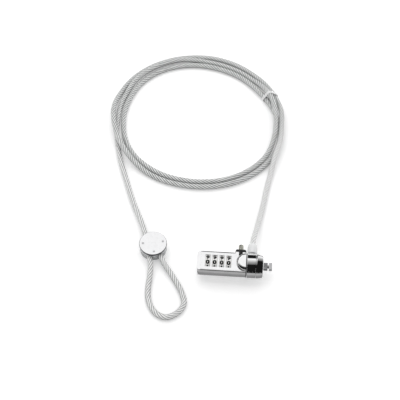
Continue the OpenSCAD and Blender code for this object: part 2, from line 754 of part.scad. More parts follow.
module push_button() {
    stem_end = bay_r - 0.8;
    stem_top = bar_z + bar_h;
    wedge_right = x_button - bar_w / 2 + 0.1;
    color("darkseagreen") union() {
        back_rod(x_button, button_z, bay_r + button_travel + 0.2, button_tip - 0.6, button_d / 2);
        translate([x_button, axis_y + button_tip - 0.6, axis_z + button_z]) rotate([-90, 0, 0])
            rotate_extrude() round_disc_profile(button_d / 2, 0.6, 0.5);
        intersection() {
            back_rod(x_button, button_z, stem_end, button_tip - 1, button_d / 2);
            block([x_left, -far, -far], [x_seam, far + button_tip, stem_top]);
        }
        block([x_button - bar_w / 2, -bar_end, bar_z], [x_button + bar_w / 2, stem_end + 0.5, stem_top]);
        for (k = rack_teeth)
            translate([x_button - bar_w / 2, axis_y + k * tooth_pitch, axis_z + pitch_r]) rack_tooth();
        translate([0, axis_y, axis_z + bar_z]) linear_extrude(height = bar_h) polygon([
            [wedge_right, -1.4], [wedge_x(-1.4), -1.4], [wedge_x(1.4 + button_travel), 1.4 + button_travel],
            [wedge_right, 1.4 + button_travel]]);
    }
}

// Sloping face of the wedge, at a distance behind the lock's axis
function wedge_x(y) = follower_right + run_gap - wedge_slope * y;

// Tooth of the rack, whose middle stands on the pitch line
module rack_tooth() {
    root = tooth_pitch * 0.34;
    mid = tooth_pitch * 0.2;
    tip = tooth_pitch * 0.09;
    rotate([90, 0, 90]) linear_extrude(height = bar_w) polygon([[-root, tooth_ded + 0.1], [-root, tooth_ded],
        [-mid, 0], [-tip, -tooth_add], [tip, -tooth_add], [mid, 0], [root, tooth_ded], [root, tooth_ded + 0.1]]);
}

module button_collar() {
    hole_r = button_d / 2 + run_gap;
    color("black") difference() {
        translate([x_button, axis_y + bay_r, axis_z + button_z]) rotate([-90, 0, 0]) rotate_extrude() {
            translate([hole_r, 0]) square([collar_shank_d / 2 - hole_r, collar_seat - bay_r + 0.1]);
            translate([0, collar_seat - bay_r]) ring_profile(hole_r, collar_d / 2, collar_t, 0.2);
        }
        block([x_button - far, 0, flat_h + collar_flat], [x_button + far, far + button_tip, far]);
    }
}

// Return spring between the bay's front wall and the end of the rack bar
module button_spring() {
    length = bay_r - bar_end - 0.2 - spring_wire;
    coil = (spring_d - spring_wire) / 2;
    steps = spring_turns * 8;
    start = [x_button, axis_y - bay_r + 0.1 + spring_wire / 2, axis_z + button_z];
    color("lightgray") swept_tube(
        [for (k = [0:steps]) start + [coil * cos(k * 45), length * k / steps, coil * sin(k * 45)]],
        spring_wire / 2, 6, [0, 1, 0]);
}

// ---- Swivel ring and cable fittings ----

module swivel_ring() {
    width = x_ring_end - face_gap - x_ring;
    washer_room_r = neck_d / 2 + nose_washer_w + face_gap;
    color("silver") difference() {
        along_axis(x_ring) rotate_extrude() ring_profile(neck_d / 2 + run_gap, head_r, width, ring_bevel);
        rod(x_ring_end - nose_washer_t - face_gap, x_ring_end, washer_room_r);
        back_rod(x_ferrule, 0, ferrule_root, far, ferrule_d / 2 + seat_gap);
        back_rod(x_ferrule, 0, ferrule_seat - seat_gap, far, ferrule_flange_d / 2 + seat_gap);
    }
}

// Stands a profile on the ring's back, with heights measured from the lock's axis
module on_ring_back(y) {
    translate([x_ferrule, axis_y + y, axis_z]) rotate([-90, 0, 0]) rotate_extrude() children();
}

module cable_ferrule() {
    shank = ferrule_seat - ferrule_root;
    color("darkgray") difference() {
        on_ring_back(ferrule_root + seat_gap) union() {
            square([ferrule_d / 2, shank]);
            translate([0, shank]) square([ferrule_flange_d / 2, ferrule_flange_t - seat_gap]);
            translate([0, shank]) square([ferrule_stub_d / 2, ferrule_flange_t + ferrule_stub]);
        }
        back_rod(x_ferrule, 0, cable_stop, boot_tip, cable_bore_r);
    }
}

module cable_boot() {
    r = boot_d / 2;
    tip = boot_tip_d / 2;
    straight = boot_len * 0.5;
    stub_room = ferrule_stub + 0.2;
    stub_r = ferrule_stub_d / 2 + seat_gap;
    color("white") on_ring_back(boot_start + seat_gap) polygon(concat(
        [[stub_r, 0], [r - 0.3, 0], [r, 0.3]],
        quarter([tip, straight], r - tip, boot_len - straight - seat_gap),
        [[cable_bore_r, boot_len - seat_gap], [cable_bore_r, stub_room], [stub_r, stub_room]]));
}

module cable_lock_leg() {
    color("gray") swept_tube(lock_leg_route, cable_r, 8);
}

module cable_coil() {
    color("gray") swept_tube(coil_route, cable_r, 6);
}

module cable_anchor_leg() {
    color("gray") swept_tube(anchor_leg_route, cable_r, 8);
}

module cable_loop() {
    color("gray") swept_tube(loop_route, cable_r, 8);
}

// Outline round the three strands that the tie holds
module tie_outline(r) {
    hull() for (turn = [0:2]) let (a = tie_at + 360 * turn)
        translate([coil_radius(a), coil_height(a)]) circle(r = r, $fn = 32);
}

module cable_tie() {
    color("white", 0.6) translate([coil_x, coil_y, 0]) rotate([0, 0, tie_at]) rotate([90, 0, 0])
        linear_extrude(height = tie_w, center = true) difference() {
            tie_outline(cable_r + tie_gap + tie_t);
            tie_outline(cable_r + tie_gap);
        }
}

// ---- Anchor puck ----

module at_rivets() {
    for (a = rivet_angles)
        translate([puck_x + rivet_r * cos(a), puck_y + rivet_r * sin(a), 0]) children();
}

// Half profile of the puck's base, with grooves round it and a gap under the cover
module base_profile() {
    top = cover_z - cover_gap;
    polygon(concat(
        [[0, 0], [base_r - 0.4, 0], [base_r, 0.4]],
        [for (k = [1:groove_count]) let (z = groove_pitch * k) each
            [[base_r, z - groove_w / 2], [base_r - groove_depth, z], [base_r, z + groove_w / 2]]],
        [[base_r, top - 0.2], [base_r - 0.2, top], [puck_r - cover_gap_depth, top],
            [puck_r - cover_gap_depth, cover_z], [0, cover_z]]));
}

// Way back from the cable's end along its last stretch
function crimp_start() = loop_end - unit(loop_end - loop_in) * crimp_len;

module puck_base() {
    pocket_r = crimp_d / 2 + cable_gap;
    color("gray") difference() {
        translate([puck_x, puck_y, 0]) rotate_extrude() base_profile();
        level_rod(channel_in, channel_out, cable_bore_r, 4);
        level_rod(loop_in, loop_end, cable_bore_r, 0.3);
        translate(loop_end) rotate([0, 0, atan2(loop_end.y - loop_in.y, loop_end.x - loop_in.x)])
            translate([-crimp_len - 0.3, -pocket_r, -pocket_r]) cube([crimp_len + 0.6, 2 * pocket_r, puck_h]);
        at_rivets() translate([0, 0, 0.4]) cylinder(h = puck_h, r = rivet_d / 2 + seat_gap);
    }
}

module puck_cover() {
    color("white") difference() {
        translate([puck_x, puck_y, cover_z + seat_gap]) rotate_extrude()
            round_disc_profile(puck_r, cover_t - seat_gap, 0.6);
        at_rivets() {
            cylinder(h = puck_h + 1, r = rivet_d / 2 + seat_gap);
            translate([0, 0, puck_h - 0.5]) cylinder(h = 1, r = rivet_d / 2 + 0.2);
        }
    }
}

module puck_rivets() {
    color("silver") at_rivets() translate([0, 0, 0.5]) {
        cylinder(h = puck_h - 1, r = rivet_d / 2);
        translate([0, 0, puck_h - 1 + seat_gap]) cylinder(h = 0.25, r = rivet_d / 2 + 0.15);
        translate([0, 0, puck_h - 1.5]) cylinder(h = 0.6, r = rivet_d / 2);
    }
}

module crimp_sleeve() {
    color("darkgray") difference() {
        level_rod(crimp_start(), loop_end, crimp_d / 2);
        level_rod(crimp_start(), loop_end, cable_bore_r, 1);
    }
}

barrel();
face_plate();
end_cap();
cap_screws();
nose_cap();
guard_pins();
seam_washer();
nose_washer();
button_collar();
button_spring();
detent_spring();
dial(1);  // dial_1
dial(2);  // dial_2
dial(3);  // dial_3
dial(4);  // dial_4
dial_hub(1);  // dial_hub_1
dial_hub(2);  // dial_hub_2
dial_hub(3);  // dial_hub_3
dial_hub(4);  // dial_hub_4
locking_shaft();
t_bar();
pinion();
retaining_clip();
push_button();
swivel_ring();
cable_ferrule();
cable_boot();
cable_lock_leg();
cable_coil();
cable_tie();
cable_anchor_leg();
cable_loop();
crimp_sleeve();
puck_base();
puck_cover();
puck_rivets();
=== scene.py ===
"""Studio scene of a combination lock for laptops, with its coiled cable and anchor puck."""

import logging
import math
from dataclasses import dataclass, field
from enum import Enum
from typing import Iterable, Sequence

import bmesh
import bpy
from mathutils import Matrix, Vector


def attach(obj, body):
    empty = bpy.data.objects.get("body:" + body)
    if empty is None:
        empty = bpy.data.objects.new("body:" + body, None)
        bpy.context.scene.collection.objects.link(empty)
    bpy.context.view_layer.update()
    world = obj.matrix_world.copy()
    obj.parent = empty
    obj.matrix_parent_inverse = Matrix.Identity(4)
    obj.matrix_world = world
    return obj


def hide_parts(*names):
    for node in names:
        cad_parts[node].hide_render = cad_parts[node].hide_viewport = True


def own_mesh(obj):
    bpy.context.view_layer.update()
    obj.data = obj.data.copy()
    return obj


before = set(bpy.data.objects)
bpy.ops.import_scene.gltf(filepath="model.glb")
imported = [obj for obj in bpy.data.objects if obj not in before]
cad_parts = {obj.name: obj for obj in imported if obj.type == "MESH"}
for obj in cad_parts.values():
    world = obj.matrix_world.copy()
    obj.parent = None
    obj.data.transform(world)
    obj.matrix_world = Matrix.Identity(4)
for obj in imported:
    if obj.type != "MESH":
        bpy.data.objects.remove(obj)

log = logging.getLogger("cable_lock")

MM = 0.001
Colour = tuple[float, float, float]
Point = tuple[float, float, float]
Pair = tuple[float, float]
Ring = list[bmesh.types.BMVert]


class Look(Enum):
    """Which rays see the plain white studio instead of its light."""

    CAMERA = "Is Camera Ray"
    GLOSSY = "Is Glossy Ray"
    TRANSMISSION = "Is Transmission Ray"


class Lay(Enum):
    """Direction in which the strands of the rope are laid."""

    RIGHT = 1.0
    LEFT = -1.0


# ---- Materials ----


class Graph:
    """A material's or world's node tree, with short calls to add and join nodes."""

    def __init__(self, owner: bpy.types.ID) -> None:
        """Clears the owner's nodes.

        Args:
            owner: the material or world that holds the tree.
        """
        owner.use_nodes = True
        self.tree = owner.node_tree
        self.tree.nodes.clear()

    def node(self, kind: str, **settings: object) -> bpy.types.Node:
        """Adds a node.

        Args:
            kind: the node's type without its ShaderNode prefix.
            settings: attributes set on the node.

        Returns:
            The new node.
        """
        made = self.tree.nodes.new("ShaderNode" + kind)
        for name, value in settings.items():
            setattr(made, name, value)
        return made

    def join(self, out: bpy.types.NodeSocket, into: bpy.types.NodeSocket) -> None:
        """Links an output to an input."""
        self.tree.links.new(out, into)

    def feed(self, value: object, into: bpy.types.NodeSocket) -> None:
        """Links an output to an input, or sets the input to a plain value.

        Args:
            value: an output, or a plain value.
            into: the input.
        """
        if isinstance(value, bpy.types.NodeSocket):
            self.join(value, into)
        else:
            into.default_value = value

    def place(self) -> bpy.types.NodeSocket:
        """Adds Object coordinates."""
        return self.node("TexCoord").outputs["Object"]

    def split(self, vector: bpy.types.NodeSocket) -> list[bpy.types.NodeSocket]:
        """Splits a vector into its X, Y and Z.

        Args:
            vector: the vector's output.

        Returns:
            The three outputs.
        """
        made = self.node("SeparateXYZ")
        self.join(vector, made.inputs["Vector"])
        return [made.outputs[axis] for axis in "XYZ"]

    def math(self, operation: str, *values: object) -> bpy.types.NodeSocket:
        """Adds a Math node.

        Args:
            operation: the node's operation.
            values: numbers or output sockets, in the order of its inputs.

        Returns:
            The node's output.
        """
        made = self.node("Math", operation=operation)
        for socket, value in zip(made.inputs, values):
            self.feed(value, socket)
        return made.outputs[0]

    def wave(self, phase: bpy.types.NodeSocket) -> bpy.types.NodeSocket:
        """Turns a phase into a row of rounded crowns, one for each whole step of it."""
        return self.math("SINE", self.math("MULTIPLY", self.math("FRACT", phase), math.pi))

    def noise(
        self, scale: float, detail: float = 3.0, vector: bpy.types.NodeSocket | None = None,
    ) -> bpy.types.NodeSocket:
        """Adds a noise texture on Object coordinates, or on the vector given.

        Args:
            scale: the noise's scale, per metre.
            detail: its octaves.
            vector: where it is read, if not on Object coordinates.

        Returns:
            Its factor.
        """
        made = self.node("TexNoise")
        made.inputs["Scale"].default_value = scale
        made.inputs["Detail"].default_value = detail
        self.join(vector or self.place(), made.inputs["Vector"])
        return made.outputs["Fac"]

    def ramp(
        self, factor: bpy.types.NodeSocket, low: float, high: float,
        to_low: float = 0.0, to_high: float = 1.0,
    ) -> bpy.types.NodeSocket:
        """Maps a range of the factor onto another range, smoothly and clamped.

        Args:
            factor: what is mapped.
            low: the factor that gives to_low.
            high: the factor that gives to_high, which is more than low.
            to_low: the least result.
            to_high: the greatest result.

        Returns:
            The result.
        """
        made = self.node("MapRange", interpolation_type="SMOOTHSTEP")
        self.join(factor, made.inputs["Value"])
        names = ("From Min", "From Max", "To Min", "To Max")
        for name, value in zip(names, (low, high, to_low, to_high)):
            made.inputs[name].default_value = value
        return made.outputs["Result"]

    def blend(
        self, factor: bpy.types.NodeSocket, first: Colour | bpy.types.NodeSocket,
        second: Colour | bpy.types.NodeSocket, mode: str = "MIX",
    ) -> bpy.types.NodeSocket:
        """Mixes two colours by a factor.

        Args:
            factor: how much of the second colour shows.
            first: a colour or an output.
            second: a colour or an output.
            mode: the way they are mixed.

        Returns:
            The mixed colour.
        """
        made = self.node("Mix", data_type="RGBA", blend_type=mode)
        self.join(factor, made.inputs[0])
        for value, socket in ((first, made.inputs[6]), (second, made.inputs[7])):
            self.feed((*value, 1.0) if isinstance(value, tuple) else value, socket)
        return made.outputs[2]

    def bump(
        self, height: bpy.types.NodeSocket, depth: float, into: bpy.types.NodeSocket,
    ) -> None:
        """Adds a bump of that depth, in metres, to a normal input.

        Args:
            height: how high the surface is, from 0 to 1.
            depth: metres for a height of 1.
            into: the normal input.
        """
        made = self.node("Bump")
        made.inputs["Strength"].default_value = 1.0
        made.inputs["Distance"].default_value = depth
        self.join(height, made.inputs["Height"])
        self.join(made.outputs["Normal"], into)

    def shader(self, **values: object) -> bpy.types.Node:
        """Adds a Principled BSDF with plain values on its own sockets, joined to the output.

        Args:
            values: values by socket name, with underscores for spaces.

        Returns:
            The shader node.
        """
        made = self.node("BsdfPrincipled")
        for name, value in values.items():
            made.inputs[name.replace("_", " ")].default_value = value
        self.join(made.outputs[0], self.node("OutputMaterial").inputs["Surface"])
        return made


@dataclass(frozen=True)
class Finish:
    """A finish that pieces share: a colour that varies a little, with its gloss and grain."""

    name: str
    colour: Colour
    roughness: float = 0.4
    metallic: float = 0.0
    shade: float = 0.06
    patch: float = 150.0
    patch_detail: float = 4.0
    patch_edges: Pair = (0.35, 0.65)
    grain: float = 3000.0
    grain_depth: float = 0.000004
    smear: float = 0.03
    smear_finer: float = 2.3
    smear_edges: Pair = (0.3, 0.7)

    def graph(self) -> tuple[bpy.types.Material, Graph, bpy.types.Node]:
        """Builds the shared part of the finish.

        Returns:
            The material, its graph and its shader node.
        """
        material = bpy.data.materials.new(self.name)
        graph = Graph(material)
        shader = graph.shader(Metallic=self.metallic)
        patches = graph.ramp(graph.noise(self.patch, self.patch_detail), *self.patch_edges)
        darker = tuple(c * (1.0 - self.shade) for c in self.colour)
        graph.join(graph.blend(patches, darker, self.colour), shader.inputs["Base Color"])
        low, high = self.roughness - self.smear, self.roughness + self.smear
        smears = graph.noise(self.patch * self.smear_finer)
        graph.join(graph.ramp(smears, *self.smear_edges, low, high), shader.inputs["Roughness"])
        if self.grain_depth:
            graph.bump(graph.noise(self.grain), self.grain_depth, shader.inputs["Normal"])
        return material, graph, shader

    def make(self) -> bpy.types.Material:
        """Makes the material."""
        return self.graph()[0]


@dataclass(frozen=True)
class Chrome(Finish):
    """Polished plate with fine smears and hairline scratches along X."""

    metallic: float = 1.0
    roughness: float = 0.06
    smear: float = 0.025
    shade: float = 0.04
    grain_depth: float = 0.0
    scratch_depth: float = 0.0000012
    scratch_scale: Point = (60.0, 4000.0, 4000.0)
    scratch_edges: Pair = (0.45, 0.8)

    def make(self) -> bpy.types.Material:
        """Makes the finish, then scratches it.

        Returns:
            The material.
        """
        material, graph, shader = self.graph()
        mapping = graph.node("Mapping")
        mapping.inputs["Scale"].default_value = self.scratch_scale
        graph.join(graph.place(), mapping.inputs["Vector"])
        hairs = graph.noise(1.0, 2.0, mapping.outputs["Vector"])
        scratches = graph.ramp(hairs, *self.scratch_edges)
        graph.bump(scratches, self.scratch_depth, shader.inputs["Normal"])
        return material


@dataclass(frozen=True)
class Vinyl(Finish):
    """Soft plastic that lets some light through."""

    depth: float = 0.4
    ior: float = 1.4

    def make(self) -> bpy.types.Material:
        """Makes the finish, then lets light through it.

        Returns:
            The material.
        """
        material, _, shader = self.graph()
        shader.inputs["Transmission Weight"].default_value = self.depth
        shader.inputs["IOR"].default_value = self.ior
        return material


@dataclass(frozen=True)
class LaidRope(Finish):
    """Steel rope under clear vinyl: laid strands of fine wires, on the cable's own UV map."""

    coat: float = 0.8
    coat_roughness: float = 0.1
    coat_ior: float = 1.45
    strands: int = 7
    lay_length: float = 23 * MM
    lay: Lay = Lay.LEFT
    strand_edges: Pair = (0.35, 0.95)
    strand_depth: float = 0.00035
    wires_around: float = 21.0
    wires_per_metre: float = 1400.0
    wire_share: float = 0.15
    wire_level: float = 0.6
    uneven: float = 420.0
    uneven_share: float = 0.7
    # Painted shade and light: the valley colours paint shade in the grooves between strands, and
    # the legs are painted lighter than the coil, though it is one cable.
    valley: Colour = (0.27, 0.28, 0.28)
    leg_colour: Colour = (0.98, 0.98, 0.97)
    leg_valley: Colour = (0.42, 0.43, 0.43)
    lock_valley: Colour = (0.62, 0.63, 0.63)
    underside: Colour = (0.16, 0.17, 0.17)
    side_slope: float = 0.35
    coil_from: float = 0.10
    coil_to: float = 1.27
    fade: float = 0.06

    def tone(
        self, graph: Graph, crown: bpy.types.NodeSocket, fine: bpy.types.NodeSocket,
    ) -> bpy.types.NodeSocket:
        """Works out how light the rope is, from 0 in the valleys to 1 on the crowns; the dark
        valleys are painted shade in the grooves between strands.

        Args:
            graph: the material's graph.
            crown: height across a strand.
            fine: height across a wire.

        Returns:
            The tone, with a little unevenness.
        """
        spots = graph.math("SUBTRACT", graph.noise(self.uneven, 2.0), 0.5)
        spots = graph.math("MULTIPLY", spots, self.uneven_share)
        wires = graph.math("SUBTRACT", fine, self.wire_level)
        wires = graph.math("MULTIPLY", wires, self.wire_share)
        strands = graph.ramp(crown, *self.strand_edges)
        return graph.math("ADD", graph.math("ADD", strands, spots), wires)

    def paint(
        self, graph: Graph, tone: bpy.types.NodeSocket, along: bpy.types.NodeSocket,
    ) -> bpy.types.NodeSocket:
        """Colours the lock's leg, the coil and the puck's leg, and paints shade on their
        undersides.

        Args:
            graph: the material's graph.
            tone: how light the rope is.
            along: metres from the lock.

        Returns:
            The colour.
        """
        # Painted light and shade: the lock's leg and the puck's leg are painted lighter, the coil
        # darker.
        lock_leg = graph.blend(tone, self.lock_valley, self.leg_colour)
        coil = graph.blend(tone, self.valley, self.colour)
        leg = graph.blend(tone, self.leg_valley, self.leg_colour)
        entered = graph.ramp(along, self.coil_from, self.coil_from + self.fade)
        left = graph.ramp(along, self.coil_to - self.fade, self.coil_to)
        colour = graph.blend(left, graph.blend(entered, lock_leg, coil), leg)
        # Painted shade: faces that point down are darkened towards the underside shade colour.
        facing = graph.split(graph.node("NewGeometry").outputs["Normal"])[2]
        upward = graph.ramp(facing, -self.side_slope, self.side_slope)
        under = graph.math("SUBTRACT", 1.0, upward)
        return graph.blend(under, colour, self.underside, "MULTIPLY")

    def make(self) -> bpy.types.Material:
        """Makes the rope from the cable's turn and length.

        Returns:
            The material.
        """
        material = bpy.data.materials.new(self.name)
        graph = Graph(material)
        shader = graph.shader(
            Metallic=0.0, Roughness=self.roughness, Coat_Weight=self.coat,
            Coat_Roughness=self.coat_roughness, Coat_IOR=self.coat_ior,
        )
        around, along, _ = graph.split(graph.node("UVMap").outputs["UV"])
        per_metre = self.lay.value * self.strands / self.lay_length
        crown = graph.wave(graph.math(
            "ADD", graph.math("MULTIPLY", around, float(self.strands)),
            graph.math("MULTIPLY", along, per_metre),
        ))
        fine = graph.wave(graph.math(
            "SUBTRACT", graph.math("MULTIPLY", around, self.wires_around),
            graph.math("MULTIPLY", along, self.wires_per_metre),
        ))
        colour = self.paint(graph, self.tone(graph, crown, fine), along)
        graph.join(colour, shader.inputs["Base Color"])
        height = graph.math("ADD", crown, graph.math("MULTIPLY", fine, self.wire_share))
        graph.bump(height, self.strand_depth, shader.inputs["Normal"])
        return material


CHROME = Chrome("chrome_polished", (0.95, 0.95, 0.955))
CHROME_SMALL = Chrome("chrome_small", (0.62, 0.62, 0.63), roughness=0.1)
DARK_STEEL = Chrome("guard_dark_chrome", (0.30, 0.30, 0.31), roughness=0.12)
BRIGHT_STEEL = Chrome(
    "bright_steel", (0.56, 0.57, 0.58), roughness=0.22, scratch_depth=0.000004,
)
BRASS = Chrome("turned_brass", (0.74, 0.56, 0.27), roughness=0.25, scratch_depth=0.000004)
NICKEL_BUTTON = Chrome(
    "button_nickel", (0.62, 0.62, 0.55), roughness=0.24, scratch_depth=0.000004,
)
DIAL_METAL = Finish(
    "dial_satin", (0.90, 0.90, 0.88), roughness=0.42, metallic=0.15, shade=0.03,
)
BLACK_COLLAR = Finish("collar_black", (0.012, 0.012, 0.012), roughness=0.22)
NYLON = Finish("washer_nylon", (0.03, 0.03, 0.03), roughness=0.5)
NUMBER_INK = Finish("number_black", (0.01, 0.01, 0.01), roughness=0.45)
PUCK_GREY = Finish(
    "puck_ribbed_grey", (0.62, 0.63, 0.64), roughness=0.22, metallic=0.9, shade=0.12,
)
PUCK_WHITE = Finish("puck_satin_white", (0.93, 0.93, 0.94), roughness=0.28, shade=0.03)
# Dark rim of the puck's cover: painted shade for the gap under the cover's edge.
PUCK_RIM_SHADE = Chrome("puck_rim_painted_shade", (0.17, 0.17, 0.18), roughness=0.15)
RIVET = Chrome("rivet_satin", (0.66, 0.66, 0.67), roughness=0.3, scratch_depth=0.000002)
MILKY_VINYL = Vinyl("boot_milky_vinyl", (0.97, 0.975, 0.98), roughness=0.18, depth=0.12)
CLEAR_TIE = Vinyl("tie_clear_nylon", (0.98, 0.98, 0.98), roughness=0.2, depth=0.15)
ROPE = LaidRope("laid_rope_in_vinyl", (0.88, 0.89, 0.88), roughness=0.35)


# ---- Tools for meshes ----


def clear_selection() -> None:
    """Leaves edit mode and deselects everything."""
    if bpy.context.object and bpy.context.object.mode != "OBJECT":
        bpy.ops.object.mode_set(mode="OBJECT")
    bpy.ops.object.select_all(action="DESELECT")


def pick(*objects: bpy.types.Object) -> None:
    """Selects only these objects, the first one active.

    Args:
        objects: what is selected.
    """
    clear_selection()
    for one in objects:
        one.select_set(True)
    bpy.context.view_layer.objects.active = objects[0]


def settle(piece: bpy.types.Object) -> None:
    """Puts a piece's place, turn and size into its mesh."""
    pick(piece)
    bpy.ops.object.transform_apply(location=True, rotation=True, scale=True)


def show(one: bpy.types.Object) -> None:
    """Puts a new object into the scene."""
    bpy.context.scene.collection.objects.link(one)


def twin(source: bpy.types.Object, name: str) -> bpy.types.Object:
    """Copies an object with its own mesh.

    Args:
        source: what is copied.
        name: the copy's name, and its mesh's.

    Returns:
        The copy, in the scene.
    """
    piece = source.copy()
    piece.data = source.data.copy()
    piece.name = piece.data.name = name
    show(piece)
    return piece


def dress(piece: bpy.types.Object, material: bpy.types.Material) -> None:
    """Gives a piece one material in all its slots.

    Args:
        piece: what is dressed.
        material: what it wears.
    """
    if not piece.data.materials:
        piece.data.materials.append(material)
    for index in range(len(piece.data.materials)):
        piece.data.materials[index] = material


# ---- The cable ----


@dataclass
class Cable:
    """The whole cable, from the lock's ferrule through the coil to the puck's crimp.

    Lengths are in millimetres and angles in degrees. Each of sway and climb is a start angle,
    an end angle, and how many pitches the cable moves outwards or up between them.
    """

    diameter: float = 4.4
    centre: Pair = (-39.0, 148.0)
    coil_r: float = 72.6
    coil_turned: int = 900
    coil_step: int = 2
    pitch: float = 5.0
    sway: tuple[Point, ...] = (
        (15, 45, -0.24), (50, 90, 0.28), (85, 150, 0.4), (165, 200, -0.48), (258, 320, 0.68),
        (325, 405, -2.86), (425, 495, 0.88), (500, 525, -0.24), (540, 585, 0.54),
        (618, 680, 0.66), (688, 722, -0.66), (735, 765, -0.2), (780, 855, 0.78),
        (860, 885, -0.12),
    )
    climb: tuple[Point, ...] = (
        (2, 22, -1), (158, 182, 1), (212, 242, -1), (685, 708, 1), (740, 770, -1),
        (804, 832, 0.64), (862, 884, -0.64),
    )
    tie_at: float = 25.0
    tie_span: float = 25.0
    tie_lift: float = 0.8
    sides: int = 16
    step: float = 2.5
    parts: int = 5
    lock_leg: tuple[Point, ...] = (
        (13.4, 3.85, 9.8), (13.4, 10, 9.8), (13.4, 16.15, 9.8), (14, 22.5, 9.4), (15.3, 30, 7.2),
        (16.8, 39, 4.4), (18.4, 48.5, 2.7), (20.2, 58.5, 2.2), (21.7, 69, 2.2), (23.3, 80, 2.2),
        (25.3, 90, 2.3), (26.8, 99, 3.8), (28.3, 106, 6.2), (29.8, 112.5, 7.2), (31.6, 120, 7.2),
        (32.9, 127, 7.2), (33.5, 133.5, 7.2), (33.6, 139.2, 7.2), (33.6, 143.6, 7.2),
    )
    anchor_leg: tuple[Point, ...] = (
        (-108.7, 143.6, 2.2), (-108.7, 139.2, 2.2), (-108.2, 131, 2.2), (-106.8, 121, 2.2),
        (-104.2, 110, 2.2), (-101, 98, 2.2), (-97.2, 87, 2.2), (-93.2, 76, 2.2),
        (-89.2, 65, 2.2), (-84.9, 54, 2.4), (-80.2, 43.5, 3), (-76.3, 34.8, 3.6),
        (-74, 28.5, 3.8), (-72.5, 23, 3.8), (-69.8, 13.2, 3.8),
    )
    loop: tuple[Point, ...] = (
        (-66.7, 1.95, 3.8), (-65.5, -4.5, 3.5), (-65.2, -13, 2.6), (-65.5, -22, 2.2),
        (-65, -31, 2.2), (-62.2, -39.5, 2.2), (-57, -46, 2.2), (-50, -48.6, 2.2),
        (-43.4, -46, 2.2), (-38.6, -41, 2.2), (-36.8, -34.5, 2.2), (-38.8, -27.6, 2.2),
        (-42.2, -20.7, 2.3), (-46.4, -14, 2.6), (-51.2, -7.4, 3.2), (-54.8, -2.4, 3.6),
        (-57.2, 2.2, 3.8), (-62.3, 11, 3.8),
    )

    @staticmethod
    def ease(t: float, start: float, end: float) -> float:
        """Smooth step from 0 to 1 as t runs from start to end."""
        u = max(0.0, min(1.0, (t - start) / (end - start)))
        return u * u * (3 - 2 * u)

    def moved(self, angle: float, moves: Sequence[Point]) -> float:
        """Sum of the moves made by an angle, each eased from its start to its end."""
        return sum(share * self.ease(angle, start, end) for start, end, share in moves)

    def coil_point(self, angle: float) -> Vector:
        """Middle of the cable after so many degrees of coil, counted from its right side.

        Args:
            angle: degrees of coil from its start.

        Returns:
            The point, in millimetres.
        """
        radius = self.coil_r + self.pitch * self.moved(angle, self.sway)
        off = self.tie_span - abs(angle % 360 - self.tie_at)
        lift = self.tie_lift * self.ease(off, 0, self.tie_span / 2)
        height = self.diameter / 2 + lift + self.pitch * (1 + self.moved(angle, self.climb))
        turn = math.radians(angle)
        x, y = self.centre
        return Vector((x + radius * math.cos(turn), y + radius * math.sin(turn), height))

    def bend(self, knots: Sequence[Point]) -> list[Vector]:
        """Runs a smooth curve through the knots.

        Args:
            knots: the points it passes.

        Returns:
            The curve's points, the first and last knots included.
        """
        points = [Vector(knot) for knot in knots]
        out: list[Vector] = []
        for i in range(len(points) - 1):
            a, b = points[i], points[i + 1]
            before = points[i - 1] if i else a - (b - a)
            after = points[i + 2] if i + 2 < len(points) else b + (b - a)
            gap = (b - a).length
            start = (b - before).normalized() * gap
            end = (after - a).normalized() * gap
            for k in range(self.parts):
                t = k / self.parts
                out.append(
                    a * (2 * t**3 - 3 * t**2 + 1) + start * (t**3 - 2 * t**2 + t)
                    + b * (3 * t**2 - 2 * t**3) + end * (t**3 - t**2)
                )
        return out + [points[-1]]

    def path(self) -> list[Vector]:
        """Joins the three stretches of the route.

        Returns:
            Its points in metres, from the ferrule to the crimp.
        """
        angles = range(0, self.coil_turned + 1, self.coil_step)
        turns = [self.coil_point(angle) for angle in angles]
        route = self.bend(self.lock_leg) + turns + self.bend(self.anchor_leg + self.loop)
        return [point * MM for point in route]

    def resampled(self) -> list[Vector]:
        """Puts the route's points at even steps.

        Returns:
            The points in metres, with the route's own ends.
        """
        points = self.path()
        out, left = [points[0]], self.step * MM
        for a, b in zip(points, points[1:]):
            length = (b - a).length
            at = left
            while at <= length:
                out.append(a.lerp(b, at / length))
                at += self.step * MM
            left = at - length
        return out + [points[-1]]

    def sweep(self, mesh: bmesh.types.BMesh, points: Sequence[Vector]) -> list[Ring]:
        """Adds a ring of vertices round each point, without twist between them.

        Args:
            mesh: what gets the vertices.
            points: the route.

        Returns:
            The rings in order.
        """
        radius = self.diameter / 2 * MM
        side = Vector((1, 0, 0))
        turns = [2 * math.pi * k / self.sides for k in range(self.sides)]
        rings: list[Ring] = []
        for i, point in enumerate(points):
            ahead, behind = points[min(i + 1, len(points) - 1)], points[max(i - 1, 0)]
            along = (ahead - behind).normalized()
            side = (side - along * side.dot(along)).normalized()
            up = along.cross(side)
            spokes = (math.cos(turn) * side + math.sin(turn) * up for turn in turns)
            rings.append([mesh.verts.new(point + radius * spoke) for spoke in spokes])
        return rings

    def mesh(self, points: Sequence[Vector], lengths: Sequence[float]) -> bpy.types.Mesh:
        """Makes the closed tube, with its turn and length in its UV map.

        Args:
            points: the route.
            lengths: metres along the route at each point.

        Returns:
            The mesh.
        """
        mesh = bmesh.new()
        layer = mesh.loops.layers.uv.new("UVMap")
        rings = self.sweep(mesh, points)
        for i in range(len(rings) - 1):
            for k in range(self.sides):
                n = (k + 1) % self.sides
                face = mesh.faces.new((rings[i][k], rings[i][n], rings[i + 1][n], rings[i + 1][k]))
                face.smooth = True
                corners = ((k, i), (k + 1, i), (k + 1, i + 1), (k, i + 1))
                for loop, (u, v) in zip(face.loops, corners):
                    loop[layer].uv = (u / self.sides, lengths[v])
        mesh.faces.new(list(reversed(rings[0])))
        mesh.faces.new(rings[-1])
        data = bpy.data.meshes.new("cable")
        mesh.to_mesh(data)
        mesh.free()
        return data

